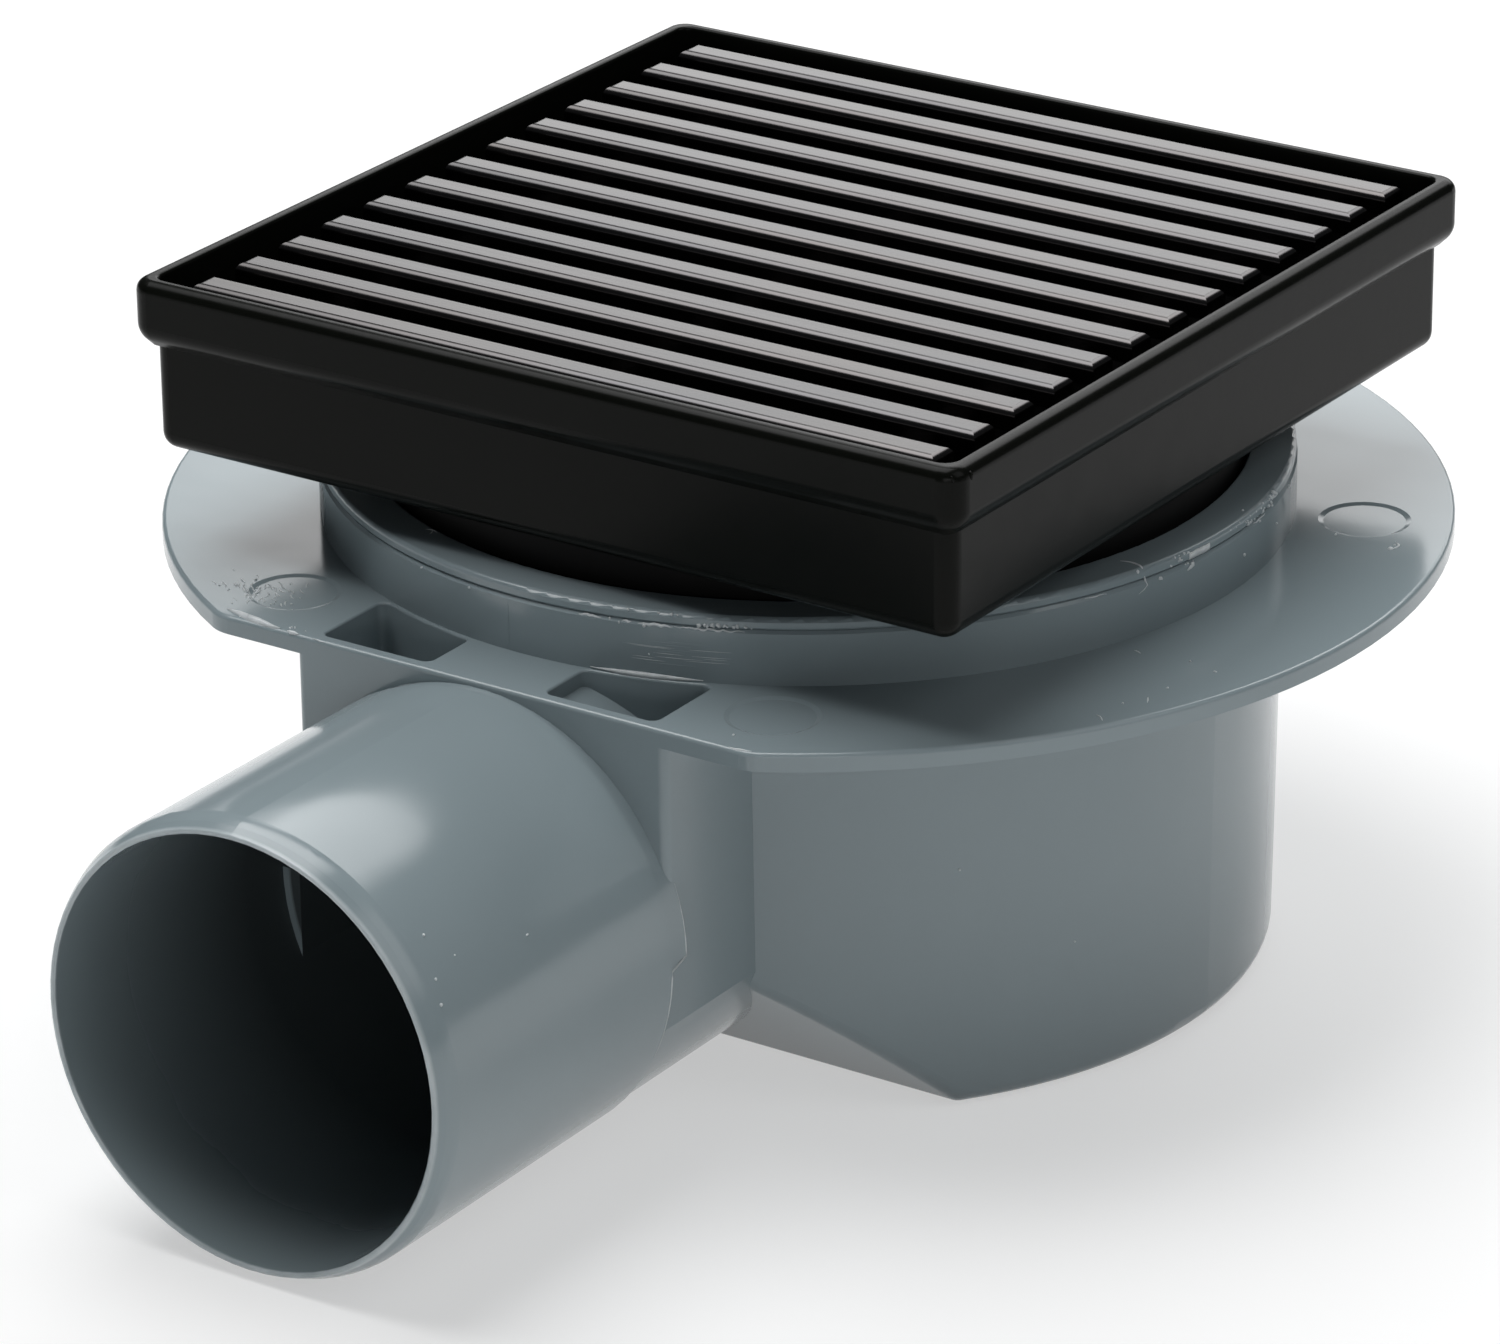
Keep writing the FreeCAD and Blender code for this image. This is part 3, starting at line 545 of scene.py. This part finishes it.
def hairs(shape, chance):
    over_edge = over_top(RING_SKIN, ((47.9, -13.9), (50.6, -14.1)), bow=0.12)
    down = along_wall(((-15.3, 56.1), (-15.1, 55.7), (-15.6, 55.3), (-16.4, 55.0)))
    sliver(shape, over_edge + down, thick=0.13)
    sliver(shape, along_wall(((-7.2, 56.2), (-7.5, 55.9), (-8.0, 55.7), (-8.5, 55.5))), thick=0.22)
    sliver(shape, over_top(RING_SKIN, ((-18.0, -45.5), (-16.4, -45.7)), bow=0.2), thick=0.08)
    sliver(shape, over_top(RING_SKIN, ((-17.3, -45.2), (-16.9, -46.3)), bow=0.1), thick=0.06)
    for ends in (((57.6, -34.6), (59.0, -35.6)), ((59.8, -28.0), (60.5, -29.3)),
                 ((52.4, -18.4), (53.4, -18.8))):
        sliver(shape, over_top(BODY_SKIN, ends, chance.uniform(-0.2, 0.2)), thick=0.09)
    sliver(shape, over_top(BODY_SKIN, ((60.7, 21.7), (61.3, 19.6)), bow=0.3), thick=0.15)
    crumb(shape, on_top(BODY_SKIN, 61.3, 19.7), 0.26, chance)
    for angle, height, size in ((-13.1, 55.9, 0.28), (3.3, 53.6, 0.24), (13.1, 53.8, 0.18)):
        crumb(shape, on_wall(BODY_SKIN, angle, height), size, chance)
    crumb(shape, on_top(RING_SKIN, 51.6, 4.9), 0.16, chance)


def specks(shape, chance):
    for along, angle in ((-84.5, 27.5), (-97.6, 39.8), (-99.1, 29.9), (-99.9, 24.3), (-95.2, 32.3)):
        crumb(shape, on_spigot(along, angle), chance.uniform(0.1, 0.18), chance)
    for angle, height in ((-39.0, 27.7), (-23.8, 16.6), (-74.5, 52.9)):
        crumb(shape, on_wall(BODY_SKIN, angle, height), chance.uniform(0.1, 0.18), chance)
    for x, y in ((58.8, -17.9), (62.3, -18.8), (60.3, -25.0), (58.5, -30.8), (29.6, -58.6), (61.1, 20.9),
                 (54.4, 20.0)):
        crumb(shape, on_top(BODY_SKIN, x, y), chance.uniform(0.1, 0.2), chance)


def parting_lines(shape, chance):
    low = FLANGE_TOP + 0.5
    high = SEAM - 0.3
    steps = 12
    route = [on_wall(BODY_SKIN, -92.3 + chance.uniform(-0.04, 0.04), low + (high - low) * step / steps)
             for step in range(steps + 1)]
    sliver(shape, route, thick=0.07)
    brushed_wall(shape, chance, 9, angles=(-75.0, -68.0), reaches=(2.0, 6.0), heights=(1.6, 4.2),
                 thick=0.025)


# A raised sliver along the edge of the outlet's root, a real mould step; its pale colour is a painted
# highlight
def mould_step(shape, _):
    sliver(shape, [root_edge(OUTLET_AXIS + 8.0 - 0.6 * step) for step in range(32)], thick=0.09)


def coat_drips(shape, _):
    start = FRAME_TOP - 0.6
    steps = 5
    for along, drop, thick in ((-48.9, 0.9, 0.22), (-51.0, 0.7, 0.16)):
        route = [on_side(FRAME_SKIN, along, start - drop * step / steps) for step in range(steps + 1)]
        sliver(shape, route, thick)


def new_piece(name, body, material, fill):
    shape = bmesh.new()
    fill(shape, random.Random(name))
    bmesh.ops.recalc_face_normals(shape, faces=shape.faces)
    for face in shape.faces:
        face.smooth = True
    mesh = bpy.data.meshes.new(name)
    shape.to_mesh(mesh)
    shape.free()
    mesh.materials.append(material)
    piece = bpy.data.objects.new(name, mesh)
    bpy.context.scene.collection.objects.link(piece)
    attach(piece, body)


# Pale pieces: real flash and marks, plus slivers whose pale colour is a painted highlight
FLASH_AND_HIGHLIGHT = pale_flash_and_highlight()
new_piece("seam_flash", "drain", FLASH_AND_HIGHLIGHT, seam_flash)
new_piece("chord_burr", "drain", FLASH_AND_HIGHLIGHT, chord_burr)
new_piece("mark_scuffs", "drain", FLASH_AND_HIGHLIGHT, scuffs)
new_piece("plastic_hairs", "drain", FLASH_AND_HIGHLIGHT, hairs)
new_piece("surface_specks", "drain", FLASH_AND_HIGHLIGHT, specks)
new_piece("parting_lines", "drain", PAINTS["grey_plastic"], parting_lines)
new_piece("mould_step", "drain", FLASH_AND_HIGHLIGHT, mould_step)
new_piece("coat_drips", "frame", PAINTS["frame_black"], coat_drips)


# Studio: pale floor, dim room, camera and five softboxes

def towards(azimuth, elevation):
    level = outward(azimuth) * math.cos(math.radians(elevation))
    return level + Vector((0.0, 0.0, math.sin(math.radians(elevation))))


def soften_edges(lamp):
    lamp.use_nodes = True
    tree = lamp.node_tree
    across = axes_of(tree, add(tree, "ShaderNodeNewGeometry").outputs["Parametric"])
    fades = []
    for axis in ("X", "Y"):
        middle = calc(tree, "ABSOLUTE", calc(tree, "SUBTRACT", across[axis], 0.5))
        fades.append(fading(tree, middle, 0.5 - LAMP_EDGE, 0.5))
    tree.links.new(product(tree, *fades), tree.nodes["Emission"].inputs["Strength"])


def softbox(name, azimuth, elevation, distance, width, height, radiance):
    lamp = bpy.data.lights.new(name, "AREA")
    lamp.shape = "RECTANGLE"
    lamp.size = width
    lamp.size_y = height
    lamp.energy = math.pi * width * height * radiance
    soften_edges(lamp)
    made = bpy.data.objects.new(name, lamp)
    bpy.context.scene.collection.objects.link(made)
    direction = towards(azimuth, elevation)
    made.location = AIM + direction * distance
    made.rotation_euler = direction.to_track_quat("Z", "Y").to_euler()


def build_floor():
    mesh = bpy.data.meshes.new("floor")
    half = FLOOR_SIDE / 2
    corners = [(-half, -half, 0), (half, -half, 0), (half, half, 0), (-half, half, 0)]
    mesh.from_pydata(corners, [], [(0, 1, 2, 3)])
    mesh.materials.append(floor_paint())
    floor = bpy.data.objects.new("floor", mesh)
    floor.location.z = -FLOOR_DROP
    bpy.context.scene.collection.objects.link(floor)


def build_room():
    world = bpy.data.worlds.new("room")
    world.use_nodes = True
    world.node_tree.nodes["Background"].inputs["Color"].default_value = ROOM_TONE
    bpy.context.scene.world = world


def build_camera():
    lens = bpy.data.cameras.new("camera")
    lens.sensor_width = SENSOR_MM
    lens.lens = SENSOR_MM * FOCAL_PIXELS / PHOTO_WIDTH
    made = bpy.data.objects.new("camera", lens)
    bpy.context.scene.collection.objects.link(made)
    flat = math.cos(CAMERA_ELEVATION)
    back = Vector((math.sin(CAMERA_AZIMUTH) * flat, -math.cos(CAMERA_AZIMUTH) * flat,
                   math.sin(CAMERA_ELEVATION)))
    level = Vector((math.cos(CAMERA_AZIMUTH), math.sin(CAMERA_AZIMUTH), 0.0))
    above = back.cross(level)
    right = level * math.cos(CAMERA_ROLL) + above * math.sin(CAMERA_ROLL)
    up = above * math.cos(CAMERA_ROLL) - level * math.sin(CAMERA_ROLL)
    turn = Matrix((right, up, back)).transposed()
    made.matrix_world = Matrix.Translation(CAMERA_PLACE) @ turn.to_4x4()
    bpy.context.scene.camera = made


build_floor()
build_room()
build_camera()
softbox("backdrop_light", azimuth=110.0, elevation=19.0, distance=1.3, width=1.4, height=0.46, radiance=2.4)
softbox("upper_backdrop_light", azimuth=104.0, elevation=42.0, distance=1.3, width=1.2, height=0.66,
        radiance=3.7)
softbox("overhead_light", azimuth=180.0, elevation=74.0, distance=1.2, width=1.2, height=1.2, radiance=5.4)
softbox("side_light", azimuth=0.0, elevation=42.0, distance=1.5, width=1.2, height=1.3, radiance=1.2)
softbox("front_light", azimuth=-62.0, elevation=10.0, distance=1.6, width=1.2, height=0.35, radiance=3.0)
bpy.context.scene.view_settings.view_transform = "Standard"
